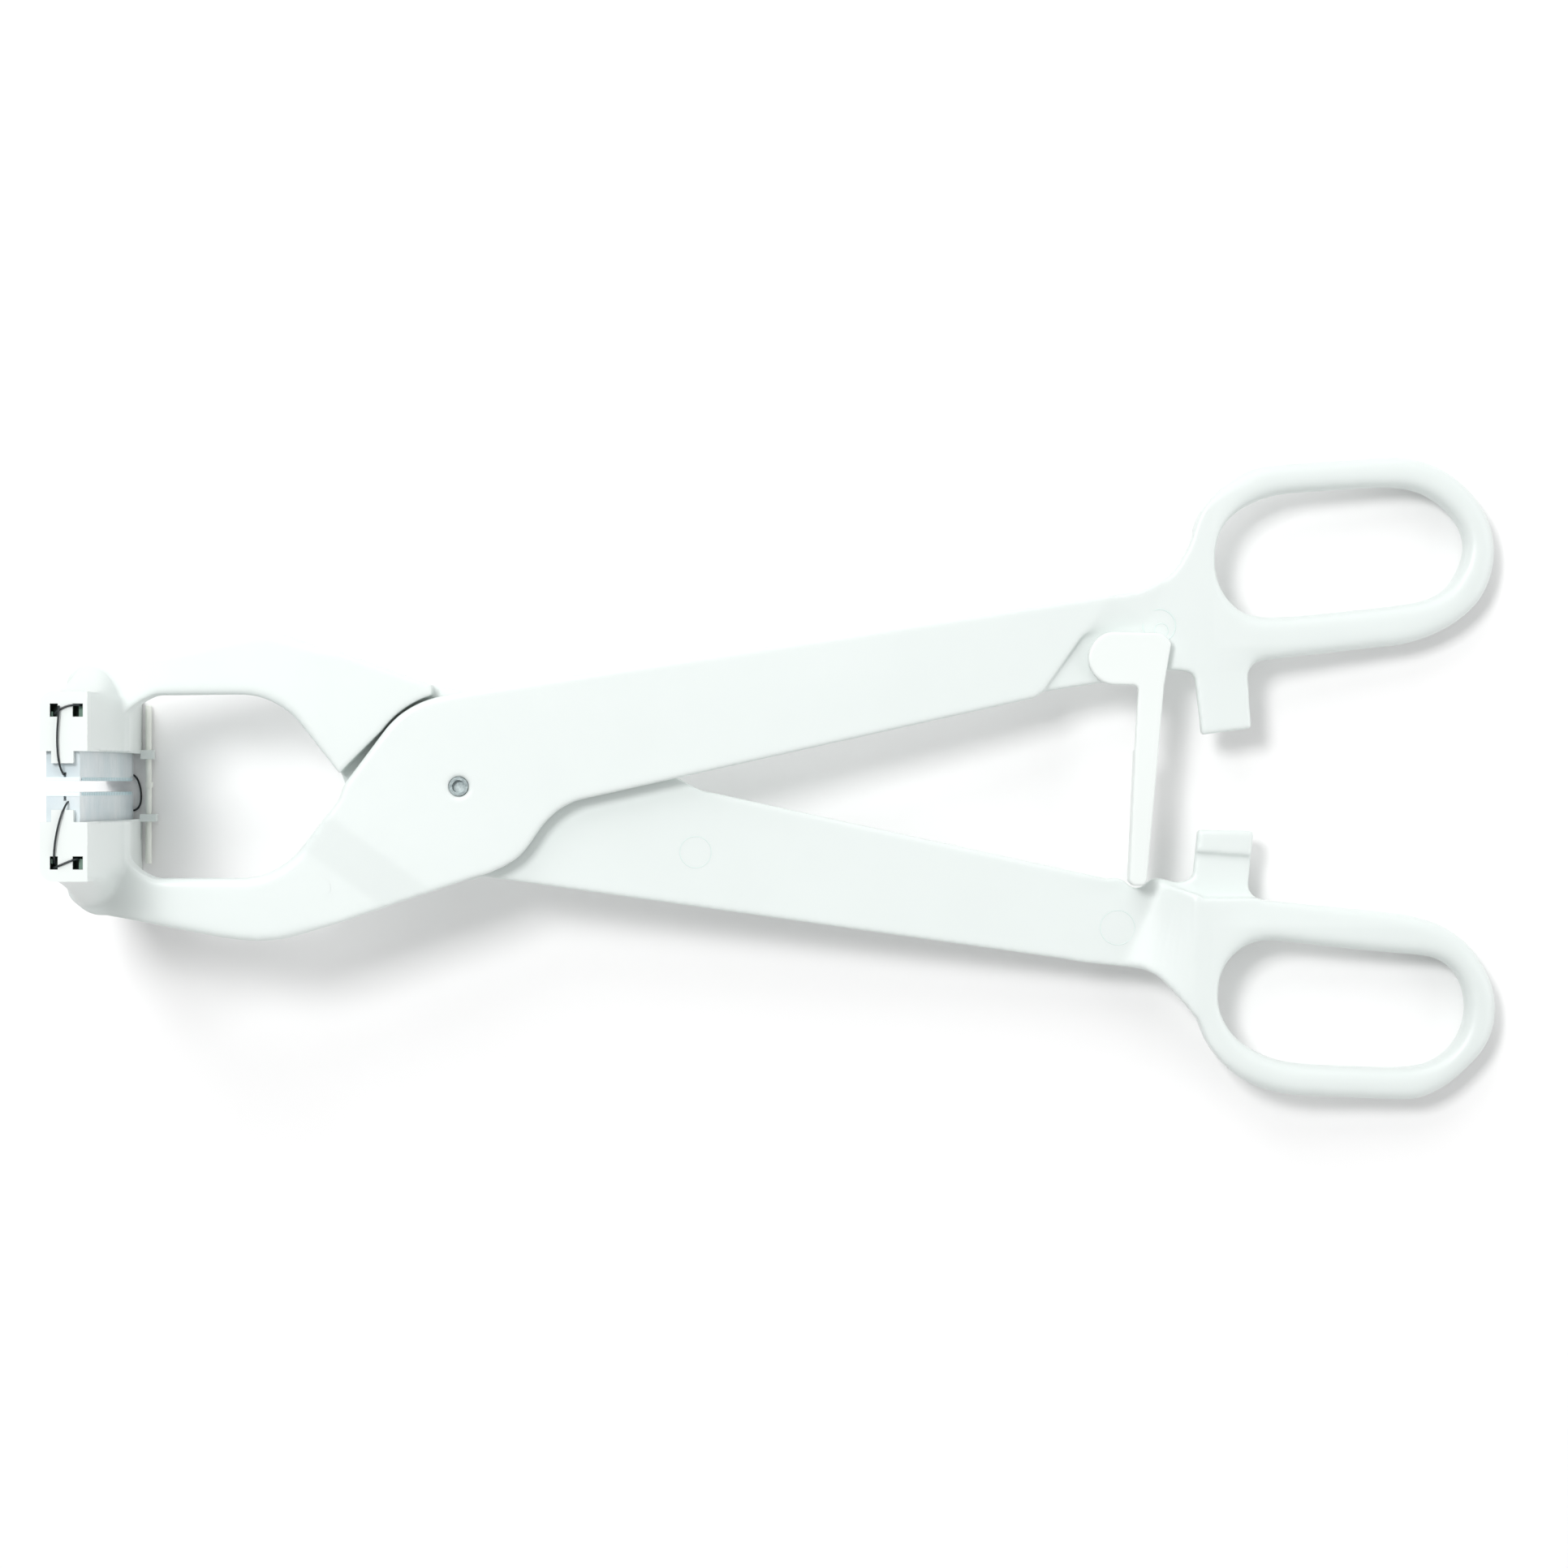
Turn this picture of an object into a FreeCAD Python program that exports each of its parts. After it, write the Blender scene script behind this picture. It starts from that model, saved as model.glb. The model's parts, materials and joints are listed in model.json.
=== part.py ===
import FreeCAD, Part
import math
import os

os.makedirs("parts", exist_ok=True)
V = FreeCAD.Vector

# ---------------------------------------------------------------- dimensions
# Work frame (mm): pivot axis at the origin, X from the jaws (-X) to the finger
# rings (+X), Y across the levers, Z along the pivot axis. Placed at the end.
K = 0.16                 # mm per outline unit in the lever plane
CX, CY = 567.3, 969.0    # pivot centre in outline units
Z_IN = 0.15              # half the gap between the two lever faces at the hub
Z_OUT = 5.0              # outer face of hub and shank
Z_THIN = 3.6             # outer face past the diagonal step, and ring half depth
Z_ARM = 4.0              # outer face of the jaw arm, past the ramp
Z_ARM_IN = -4.5          # inner face of the jaw arm, past the shoulder
RAMP = 8.5               # length of the ramp on the jaw arm
R_RIVET = 1.86           # pivot rivet
RIVET_CLEAR = 0.05       # running clearance of the rivet
R_SHOULDER = 18.72       # clearance arc of the shoulder about the pivot
# jaws: bars that run along Z, across the lever plane
JAW_HALF = 35.0          # half length of a jaw bar
JX0, JX1 = -76.9, -67.9  # jaw bar, its two flanks
JY0, JY1 = 6.7, 18.0     # jaw bar, open edge and back
WALL = 0.9               # wall of the jaw housing
CAP = 4.0                # depth of the cleat cap at the near end
CART_X0, CART_X1 = -75.95, -69.6
CART_FACE, CART_TOP = 1.07, 11.5
CART_NEAR = 33.3         # near end of the cartridge, behind the retaining tab
N_STAPLES = 11
PITCH = 5.6
SUTURE_R = 0.2
SUTURE_Y = 2.35
ROD_R = 0.62
ROD_X, ROD_Z = -66.4, -33.55
SPACER_PIVOT = (1372.0, 812.0)
BOSS_R = 2.0
# placement of the resting instrument
TILT_DEG = 6.6


def P(px, py, mirror=False):
    y = (CY - py) * K
    return V((px - CX) * K, -y if mirror else y, 0)


def ext(face, z0, z1):
    f = face.copy()
    f.translate(V(0, 0, z0))
    return f.extrude(V(0, 0, z1 - z0))


def box(x0, x1, y0, y1, z0, z1):
    return Part.makeBox(x1 - x0, y1 - y0, z1 - z0, V(x0, y0, z0))


def poly_face(pts):
    pts = [V(p[0], p[1], 0) for p in pts]
    return Part.Face(Part.makePolygon(pts + [pts[0]]))


def outline_face(segs, mirror=False):
    edges = []
    for s in segs:
        pts = [P(x, y, mirror) for x, y in s]
        if len(pts) == 2:
            edges.append(Part.LineSegment(pts[0], pts[1]).toShape())
        else:
            c = Part.BSplineCurve()
            c.interpolate(pts)
            edges.append(c.toShape())
    w = Part.Wire(Part.__sortEdges__(edges))
    return Part.Face(w)


def closed_spline_face(pts, mirror=False):
    c = Part.BSplineCurve()
    c.interpolate([P(x, y, mirror) for x, y in pts], PeriodicFlag=True)
    return Part.Face(Part.Wire([c.toShape()]))


def tube(points, r):
    """Round bar along straight runs joined by tangent arcs."""
    pts = [V(*p) for p in points]
    edges = []
    cur = pts[0]
    for i in range(1, len(pts) - 1):
        a, b, c = pts[i - 1], pts[i], pts[i + 1]
        u = (a - b).normalize()
        w = (c - b).normalize()
        turn = math.pi - math.acos(max(-1, min(1, u.dot(w))))
        run = min((a - b).Length, (c - b).Length)
        t = 0.45 * run
        rad = t / math.tan(turn / 2)
        p0 = b + u * t
        p1 = b + w * t
        bis = (u + w).normalize()
        d = rad / math.cos(turn / 2)
        cen = b + bis * d
        mid = cen - bis * rad
        edges.append(Part.LineSegment(cur, p0).toShape())
        edges.append(Part.Arc(p0, mid, p1).toShape())
        cur = p1
    edges.append(Part.LineSegment(cur, pts[-1]).toShape())
    path = Part.Wire(edges)
    d0 = (pts[1] - pts[0]).normalize()
    prof = Part.Wire([Part.Circle(pts[0], d0, r).toShape()])
    return path.makePipeShell([prof], True, False)


# ---------------------------------------------------------------- outlines
FRONT = [
    [(578.6, 852.2), (1400.7, 729.4)],
    [(1400.7, 729.4), (1423.7, 720.2), (1446.6, 701.8), (1456.8, 685.9), (1465.3, 667.9),
     (1473.7, 641), (1490.5, 615.8), (1518.6, 593.3), (1546.6, 580.7), (1574.7, 576.5)],
    [(1574.7, 576.5), (1709.4, 567.2)],
    [(1709.4, 567.2), (1743, 570.3), (1776.7, 583.5), (1804.8, 605.9), (1827.2, 638.2),
     (1836.0, 670.3), (1835.2, 695), (1821.6, 733.6), (1804.8, 753.3), (1776.7, 772.9),
     (1743.1, 786.8), (1692.6, 794.8)],
    [(1692.6, 794.8), (1557.9, 811.6)],
    [(1557.9, 811.6), (1543.8, 816.4), (1536.8, 826.2), (1535.4, 834.6)],
    [(1535.4, 834.6), (1539.6, 897.8)],
    [(1539.6, 897.8), (1479.3, 905.6)],
    [(1479.3, 905.6), (1470.9, 837.5)],
    [(1470.9, 837.5), (1466.7, 830.4), (1456.8, 826.8), (1437, 826)],
    [(1437, 826), (1354.8, 841.9)],
    [(1354.8, 841.9), (1283.6, 852.7)],
    [(1283.6, 852.7), (1274.4, 860.2)],
    [(1274.4, 860.2), (720, 984.3)],
    [(720, 984.3), (695.9, 993.5), (675.5, 1009.8), (661.2, 1028.2), (644.9, 1050.6),
     (620.4, 1068), (583.7, 1081.2)],
    [(583.7, 1081.2), (420.4, 1136.3)],
    [(420.4, 1136.3), (374.8, 1149.7), (334.6, 1157.8), (294.5, 1156.4), (227.5, 1144.4)],
    [(227.5, 1144.4), (133.8, 1127)],
    [(133.8, 1127), (109.6, 1122.3), (97.6, 1113.3), (88, 1102.5), (86.675, 1097.5)],
    [(86.675, 1097.5), (86.675, 1081.5)],
    [(86.675, 1081.5), (142.925, 1081.5)],
    [(142.925, 1081.5), (142.925, 1011)],
    [(142.925, 1011), (147, 1011)],
    [(147, 1011), (150, 1036), (157, 1056), (173.9, 1073.4), (195.4, 1083.0)],
    [(195.4, 1083.0), (297.1, 1082.8)],
    [(297.1, 1082.8), (320, 1080), (345, 1070), (374.8, 1043.9)],
    [(374.8, 1043.9), (420.1, 985)],
    [(420.1, 985), (426.5, 966.9)],
    [(426.5, 966.9), (475.5, 901.6)],
    [(475.5, 901.6), (498, 879), (522.4, 865.2), (538.8, 859.8)],
    [(538.8, 859.8), (578.6, 852.2)],
]
FRONT_RING = [(1494.7, 692.9), (1496.1, 674.7), (1503.1, 652.2), (1518.6, 632.6), (1543.8, 615.8),
              (1571.9, 606.8), (1608.4, 603.0), (1660, 599.6), (1706.6, 597.5), (1734.6, 599.8),
              (1757.1, 607.3), (1782.3, 625.6), (1799.2, 646.6), (1806.2, 666.3), (1804.8, 688.7),
              (1796.4, 708.4), (1782.3, 728), (1763.5, 740.3), (1734.6, 747.5), (1664.5, 756.1),
              (1610, 761.5), (1566.3, 764.3), (1546.6, 763.2), (1529.8, 757.5), (1513, 743.4), (1501.7, 725.2)]

BACK = [
    [(578.6, 1085.4), (595.9, 1080.2)],
    [(595.9, 1080.2), (1314, 1181.9)],
    [(1314, 1181.9), (1396.6, 1192.5), (1440, 1207.7), (1465.3, 1235.7), (1473.7, 1252.6),
     (1484.9, 1280.6), (1504.5, 1307.3), (1532.6, 1328.3), (1566.3, 1340.9), (1608.4, 1346.6)],
    [(1608.4, 1346.6), (1720.6, 1350.8)],
    [(1720.6, 1350.8), (1754.3, 1346.6), (1782.3, 1331.1), (1804.8, 1311.5), (1824.4, 1289),
     (1834.3, 1266.6), (1837.9, 1241.3), (1835.7, 1221.7), (1824.4, 1193.6), (1804.8, 1165.6),
     (1776.7, 1144.5), (1748.7, 1133.3), (1692.6, 1123.5)],
    [(1692.6, 1123.5), (1572, 1110.8)],
    [(1572, 1110.8), (1553.9, 1108.4), (1542.4, 1101.4), (1538.2, 1090.6)],
    [(1538.2, 1090.6), (1544.4, 1023.9)],
    [(1544.4, 1023.9), (1476.5, 1022.4)],
    [(1476.5, 1022.4), (1470.9, 1078.4)],
    [(1470.9, 1078.4), (1462, 1085.6), (1448.3, 1087.2), (1429.9, 1082.2), (1418.4, 1083.8),
     (1406.9, 1093), (1397.8, 1094.1), (1388.6, 1088.4), (1367.9, 1083.5)],
    [(1367.9, 1083.5), (879, 977)],
    [(879, 977), (857.2, 970.8), (835.4, 958.8), (800, 953), (720, 953.3)],
    [(720, 953.3), (695.9, 944.1), (675.5, 927.8), (661.2, 909.4), (644.9, 887), (620.4, 869.6),
     (578.6, 852.2)],
    [(578.6, 852.2), (534.7, 844.5)],
    [(534.7, 844.5), (420.1, 802.9)],
    [(420.1, 802.9), (374.8, 790.8), (356, 784.1), (334.6, 779.3), (307.9, 780.1), (227.5, 797.5)],
    [(227.5, 797.5), (133.8, 814.9)],
    [(133.8, 814.9), (109.6, 817.5), (97.6, 825.3), (88, 835.5), (86.675, 840.5)],
    [(86.675, 840.5), (86.675, 856.5)],
    [(86.675, 856.5), (142.925, 856.5)],
    [(142.925, 856.5), (142.925, 927)],
    [(142.925, 927), (147, 927)],
    [(147, 927), (150, 902), (157, 882), (173.9, 866), (195.4, 855.9)],
    [(195.4, 855.9), (297.1, 854.8)],
    [(297.1, 854.8), (320, 857.6), (345, 867.6), (374.8, 893.7)],
    [(374.8, 893.7), (420.1, 952.6)],
    [(420.1, 952.6), (426.5, 970.7)],
    [(426.5, 970.7), (475.5, 1036)],
    [(475.5, 1036), (498, 1058.6), (522.4, 1072.4), (538.8, 1077.8)],
    [(538.8, 1077.8), (578.6, 1085.4)],
]
BACK_RING = [(1498.4, 1230.1), (1500.3, 1207.7), (1508.8, 1185.2), (1524.2, 1168.4), (1541, 1158.1),
             (1561.9, 1154.8), (1594.3, 1157.7), (1640, 1162.9), (1692.6, 1168.4), (1730, 1171.6),
             (1757.1, 1174.4), (1778.7, 1182), (1796.4, 1199.2), (1806.2, 1221.7), (1808.4, 1241.3),
             (1804.8, 1263.8), (1793.6, 1286.2), (1776.7, 1303.1), (1757.1, 1313.4), (1726.2, 1318.3),
             (1670, 1316.8), (1608.4, 1314.3), (1574.7, 1309.6), (1543.8, 1297.5), (1518.6, 1277.8), (1504.5, 1255.4)]


def lever(segs, ring, mirror):
    """One moulded lever, drawn as the near one: inner face at +Z_IN."""
    face = outline_face(segs, mirror).cut(closed_spline_face(ring, mirror))

    def M(px, py):
        q = P(px, py)
        return (q.x, q.y)
    far = 60.0
    # hub and shank, between the ramp and the diagonal step
    shank = poly_face([M(60, 940), M(60, 700), M(1392, 700), M(1283.6, 853.2), M(1262, 884), M(1262, 1250), M(60, 1250)])
    thin = poly_face([M(1240, 600), M(1470, 600), M(1470, 940), M(1240, 940)])
    ringm = poly_face([M(1470, 500), M(1900, 500), M(1900, 832), M(1470, 832)])
    tab = poly_face([M(1464, 826), M(1560, 826), M(1560, 930), M(1464, 930)])
    lip = poly_face([M(1464, 889), M(1560, 882), M(1560, 930), M(1464, 930)])
    # jaw arm, outside the shoulder
    arc = []
    a0 = math.atan2(-(1041 - CY), 468 - CX)
    a1 = math.atan2(-(1080.5 - CY), 533.6 - CX)
    for i in range(9):
        a = a0 + (a1 - a0) * i / 8.0
        arc.append((R_SHOULDER * math.cos(a), R_SHOULDER * math.sin(a)))
    armm = poly_face([M(0, 900), M(351.3, 900), M(428, 993)] + arc + [M(540, 1200), M(0, 1200)])
    plate = ext(face, Z_IN, Z_OUT).common(ext(shank, -far, far))
    thin_s = ext(face, Z_IN, Z_THIN).common(ext(thin, -far, far))
    ring_s = ext(face, -Z_THIN, Z_THIN).common(ext(ringm, -far, far))
    tab_s = ext(face, Z_IN, Z_THIN).common(ext(tab, -far, far))
    lip_s = ext(face, -1.0, Z_THIN).common(ext(lip, -far, far))
    arm_s = ext(face, Z_ARM_IN, Z_OUT).common(ext(armm, -far, far))
    s = plate.fuse([thin_s, ring_s, tab_s, lip_s, arm_s])
    # ramp: the outer face comes down towards the jaws
    o = P(412.6, 1007.2)
    d = V(0.808, -0.589, 0).normalize()
    n = V(-0.589, -0.808, 0).normalize()

    def Q(u, z):
        return V(o.x, o.y, 0) + n * u + V(0, 0, z) - d * 80
    prof = Part.Face(Part.makePolygon([Q(0, Z_OUT), Q(RAMP, Z_ARM), Q(200, Z_ARM), Q(200, 12), Q(0, 12), Q(0, Z_OUT)]))
    s = s.cut(prof.extrude(d * 160))
    s = s.cut(Part.makeCylinder(R_RIVET + RIVET_CLEAR, 40, V(0, 0, -20)))
    return s.removeSplitter()


nodes = {}

front = lever(FRONT, FRONT_RING, False)
# boss socket for the spacer
sp = P(*SPACER_PIVOT)
front = front.cut(Part.makeCylinder(BOSS_R + 0.05, 20, V(sp.x, sp.y, -10)))
nodes["front_lever"] = front
back = lever(BACK, BACK_RING, True)
# the rear lever has no spacer of its own
back.rotate(V(0, 0, 0), V(1, 0, 0), 180)
nodes["back_lever"] = back

# rivet: tubular, flush with both outer faces
rivet = Part.makeCylinder(R_RIVET, 2 * Z_OUT, V(0, 0, -Z_OUT))
for z0 in (-Z_OUT, Z_OUT - 1.2):
    rivet = rivet.cut(Part.makeCylinder(1.25, 1.2, V(0, 0, z0)))
nodes["pivot_rivet"] = rivet


# ---------------------------------------------------------------- jaws
def jaw():
    """Upper jaw: pieces of the jaw carried by one arm."""
    d = {}
    outer = Part.Face(Part.Wire([
        Part.LineSegment(V(JX1, JY0, 0), V(JX1, JY1, 0)).toShape(),
        Part.LineSegment(V(JX1, JY1, 0), V(JX0 + 2.6, JY1, 0)).toShape(),
        Part.Arc(V(JX0 + 2.6, JY1, 0), V(JX0 + 0.76, JY1 - 0.76, 0), V(JX0, JY1 - 2.6, 0)).toShape(),
        Part.LineSegment(V(JX0, JY1 - 2.6, 0), V(JX0, JY0, 0)).toShape(),
        Part.LineSegment(V(JX0, JY0, 0), V(JX1, JY0, 0)).toShape()]))
    h = ext(outer, -JAW_HALF, JAW_HALF - CAP)
    h = h.cut(box(JX0 + WALL, JX1 - WALL, JY0 - 1, 16.0, -JAW_HALF + 1.0, JAW_HALF))
    # slot in the far wall where the suture crosses over
    h = h.cut(box(-72.75, -72.05, JY0 - 1, JY0 + 0.8, -JAW_HALF - 1, -JAW_HALF + 2))
    # cleat cap at the near end
    c = ext(outer, JAW_HALF - CAP, JAW_HALF)
    c = c.cut(box(JX0 + WALL, JX1 - WALL, JY0 - 1, 11.9, JAW_HALF - CAP - 1, JAW_HALF - 1.5))
    # two windows with a post between them
    c = c.cut(box(-75.0, -73.5, 13.2, 15.7, JAW_HALF - 3.0, JAW_HALF + 1))
    c = c.cut(box(-70.7, -68.75, 13.2, 15.7, JAW_HALF - 3.0, JAW_HALF + 1))
    c = c.cut(box(-75.0, -68.75, 13.2, 15.7, JAW_HALF - 3.0, JAW_HALF - 1.8))
    # side windows of the open edge beside the retaining tab
    c = c.fuse(box(-74.75, -70.55, 4.4, JY0 + 0.5, JAW_HALF - 1.5, JAW_HALF))
    d["housing"] = h
    d["cap"] = c
    # cartridge with staple pockets and the suture groove
    k = box(CART_X0, CART_X1, CART_FACE, CART_TOP, -JAW_HALF + 1.15, CART_NEAR)
    zs = [(i - (N_STAPLES - 1) / 2.0) * PITCH for i in range(N_STAPLES)]
    for z in zs:
        k = k.cut(box(-74.05, -70.75, CART_FACE - 1, CART_TOP + 1, z - 0.6, z + 0.6))
    k = k.cut(box(-72.65, -72.15, CART_FACE - 1, 2.7, -JAW_HALF, JAW_HALF))
    # locating notches in the tissue face
    for z in (-29.4, 31.0):
        k = k.cut(box(CART_X0 - 1, CART_X1 + 1, CART_FACE - 1, CART_FACE + 0.5, z - 0.5, z + 0.5))
    # step at the near end, under the cap
    k = k.cut(box(CART_X0 - 1, CART_X1 + 1, 8.0, CART_TOP + 1, JAW_HALF - CAP - 0.1, JAW_HALF))
    d["cartridge"] = k
    st = []
    for z in zs:
        a = box(-73.8, -71.0, 5.7, 6.0, z - 0.15, z + 0.15)
        a = a.fuse([box(-73.8, -73.5, 2.9, 5.8, z - 0.15, z + 0.15), box(-71.3, -71.0, 2.9, 5.8, z - 0.15, z + 0.15)])
        st.append(a.removeSplitter())
    d["staples"] = Part.makeCompound(st)
    pu = box(-75.4, -69.4, 15.15, 16.0, -33.0, 30.9)
    for z in zs:
        pu = pu.fuse(box(-73.85, -70.95, 9.8, 15.3, z - 0.4, z + 0.4))
    d["pusher"] = pu.removeSplitter()
    d["thread"] = Part.makeCylinder(SUTURE_R, CART_NEAR + JAW_HALF - 1.15, V(-72.4, SUTURE_Y, -JAW_HALF + 1.15), V(0, 0, 1))
    return d


def flip(shape):
    s = shape.copy()
    return s.mirror(V(0, 0, 0), V(0, 1, 0))


up = jaw()
lo = {k: flip(v) for k, v in jaw().items()}

# guide rod in an eye on the upper jaw, running through a slot on the lower jaw
eye = box(JX1 - 0.3, -65.2, 5.6, 7.4, -34.3, -32.2).cut(box(JX1 - 1, JX1, 5.0, JY0, -36, -32))
up["housing"] = up["housing"].fuse(eye).cut(Part.makeCylinder(ROD_R, 20, V(ROD_X, 0, ROD_Z), V(0, 1, 0))).removeSplitter()
low_eye = box(JX1 - 0.3, -64.6, -7.2, -5.7, -34.3, -31.2).cut(box(JX1 - 1, JX1, -JY0, -5.0, -36, -31))
low_eye = low_eye.cut(box(JX1, -65.05, -9, -5, -34.6, -32.2))
lo["housing"] = lo["housing"].fuse(low_eye)
# relief for the end of the rod, which swings towards the flank as the levers open
lo["housing"] = lo["housing"].cut(box(-68.65, JX1 + 0.2, -10.9, -5.0, -34.4, -32.7)).removeSplitter()

nodes["upper_jaw_housing"] = up["housing"]
nodes["lower_jaw_housing"] = lo["housing"]
nodes["upper_cleat_cap"] = up["cap"]
nodes["lower_cleat_cap"] = lo["cap"]
nodes["upper_cartridge"] = up["cartridge"]
nodes["lower_cartridge"] = lo["cartridge"]
nodes["upper_staples"] = up["staples"]
nodes["lower_staples"] = lo["staples"]
nodes["upper_staple_pusher"] = up["pusher"]
nodes["lower_staple_pusher"] = lo["pusher"]
nodes["upper_jaw_suture"] = up["thread"]
nodes["lower_jaw_suture"] = lo["thread"]

rod = Part.makeCylinder(ROD_R, 32.3, V(ROD_X, -15.8, ROD_Z), V(0, 1, 0))
nodes["guide_rod"] = rod
collar = Part.makeCylinder(0.8, 1.1, V(ROD_X + 0.1, -0.2, ROD_Z + 0.2), V(0, 1, 0)).cut(
    Part.makeCylinder(ROD_R, 4, V(ROD_X, -2, ROD_Z), V(0, 1, 0)))
nodes["guide_rod_collar"] = collar

# sutures: tails from the cleats to the cartridges, knots on the posts, and the far crossing
nodes["upper_suture_tail"] = tube([(-73.2, 15.2, 35.7), (-73.25, 13.4, 35.72), (-73.5, 9.8, 35.5), (-73.4, 6.2, 35.45),
                                   (-73.1, 3.9, 35.1), (-72.7, 2.5, 34.2), (-72.6, 2.2, 33.32)], SUTURE_R)
nodes["lower_suture_tail"] = tube([(-74.15, -14.5, 34.3), (-74.15, -13.45, 35.35), (-74.0, -12.3, 35.5), (-73.75, -10.4, 35.6),
                                   (-73.3, -7.6, 35.6), (-72.8, -5.2, 35.5), (-72.4, -3.9, 35.0), (-72.1, -3.1, 34.1),
                                   (-72.0, -2.9, 33.32)], SUTURE_R)
# turn of suture across the post between the windows
nodes["upper_suture_hitch"] = tube([(-74.35, 13.75, 34.0), (-73.9, 13.95, 35.22), (-72.2, 14.75, 35.26), (-70.4, 15.2, 35.22),
                                    (-69.6, 15.3, 34.0)], SUTURE_R)
nodes["lower_suture_hitch"] = tube([(-74.5, -15.4, 34.0), (-73.95, -15.25, 35.22), (-72.1, -14.6, 35.26), (-70.35, -13.95, 35.22),
                                    (-69.9, -13.85, 34.0)], SUTURE_R)
nodes["rear_suture_loop"] = tube([(-72.35, SUTURE_Y, -33.87), (-72.1, 2.4, -34.55), (-71.0, 2.5, -34.7), (-69.7, 2.4, -34.65),
                                  (-68.6, 1.0, -34.65), (-68.1, -1.8, -34.65), (-68.5, -4.2, -34.65), (-69.8, -5.0, -34.65),
                                  (-71.2, -3.9, -34.7), (-72.1, -2.7, -34.55), (-72.35, -SUTURE_Y, -33.87)], SUTURE_R)

# ---------------------------------------------------------------- spacer
c0 = P(*SPACER_PIVOT)
head = outline_face([
    [(1372, 779.8), (1417, 781)],
    [(1417, 781), (1433, 785), (1440, 794)],
    [(1440, 794), (1431, 846)],
    [(1431, 846), (1399.8, 850)],
    [(1399.8, 850), (1396.5, 846), (1390, 845)],
    [(1390, 845), (1372, 844.2)],
    [(1372, 844.2), (1348.2, 834.8), (1338.3, 812), (1348.2, 789.2), (1372, 779.8)]])
arm_hi = outline_face([
    [(1431.2, 845), (1424.2, 926)],
    [(1424.2, 926), (1395.2, 926)],
    [(1395.2, 926), (1399.8, 845)],
    [(1399.8, 845), (1431.2, 845)]])
arm_lo = outline_face([
    [(1424.4, 924), (1409.9, 1085)],
    [(1409.9, 1085), (1405.5, 1090.5)],
    [(1405.5, 1090.5), (1393.5, 1090.5)],
    [(1393.5, 1090.5), (1388.2, 1085)],
    [(1388.2, 1085), (1395.3, 924)],
    [(1395.3, 924), (1424.4, 924)]])
Z_SP0, Z_SP1 = Z_THIN + 0.1, 6.2
spacer = ext(head, Z_SP0, Z_SP1).fuse([ext(arm_hi, Z_SP0, Z_SP1), ext(arm_lo, 0.4, Z_SP1)])
spacer = spacer.fuse(Part.makeCylinder(BOSS_R, Z_SP0 + 0.5 - 0.3, V(c0.x, c0.y, 0.3)))
nodes["safety_spacer"] = spacer.removeSplitter()
# split ring that keeps the spacer's boss in the lever
clip = Part.makeCylinder(2.9, 0.5, V(c0.x, c0.y, -0.42)).cut(Part.makeCylinder(1.2, 2, V(c0.x, c0.y, -1.4)))
clip = clip.cut(box(c0.x, c0.x + 6, c0.y - 0.5, c0.y + 0.5, -2, 2))
nodes["spacer_retainer"] = clip
post = Part.makeCylinder(1.2, 0.75, V(c0.x, c0.y, -0.42))
nodes["safety_spacer"] = nodes["safety_spacer"].fuse(post).removeSplitter()

# ---------------------------------------------------------------- placement and export
# at rest it lies on the far ends of both jaw bars and on both rings
place = FreeCAD.Placement(V(0, 0, 0), FreeCAD.Rotation(V(0, 1, 0), TILT_DEG))
bb = None
laid = {}
for n, s in nodes.items():
    t = s.copy()
    t.Placement = place.multiply(t.Placement)
    laid[n] = t
    b = t.optimalBoundingBox(False)
    bb = b if bb is None else bb.united(b)
SHIFT = V(-(bb.XMin + bb.XMax) / 2, -(bb.YMin + bb.YMax) / 2, -bb.ZMin)
print("size %.2f %.2f %.2f" % (bb.XLength, bb.YLength, bb.ZLength))
print("pivot at %.4f %.4f %.4f" % tuple(SHIFT))
for n, t in laid.items():
    t.translate(SHIFT)
    t.exportStep("parts/" + n + ".step")
    b = t.optimalBoundingBox(False)
    print(n, "valid", t.isValid(), "solids", len(t.Solids), "vol %.2f" % t.Volume,
          "box %.2f %.2f %.2f | %.2f %.2f %.2f" % (b.XMin, b.YMin, b.ZMin, b.XMax, b.YMax, b.ZMax))
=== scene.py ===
import bpy
import bmesh
import json
import math
import random
from mathutils import Matrix, Vector


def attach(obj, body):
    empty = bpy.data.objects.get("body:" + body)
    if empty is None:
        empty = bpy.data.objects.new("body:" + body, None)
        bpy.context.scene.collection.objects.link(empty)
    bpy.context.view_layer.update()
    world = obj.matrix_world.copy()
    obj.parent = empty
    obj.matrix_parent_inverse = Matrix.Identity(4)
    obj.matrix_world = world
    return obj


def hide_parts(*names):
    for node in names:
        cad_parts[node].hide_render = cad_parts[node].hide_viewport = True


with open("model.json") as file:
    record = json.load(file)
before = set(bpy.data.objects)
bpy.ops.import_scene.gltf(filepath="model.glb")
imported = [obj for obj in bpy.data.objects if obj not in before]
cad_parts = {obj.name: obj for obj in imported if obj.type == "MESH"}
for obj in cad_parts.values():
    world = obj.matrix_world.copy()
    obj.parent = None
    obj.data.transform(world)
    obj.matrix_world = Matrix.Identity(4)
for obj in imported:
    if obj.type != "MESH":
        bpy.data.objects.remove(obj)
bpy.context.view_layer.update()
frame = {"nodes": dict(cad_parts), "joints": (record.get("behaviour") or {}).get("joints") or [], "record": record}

random.seed(7)
N = frame["nodes"]
REC = frame["record"]

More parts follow.
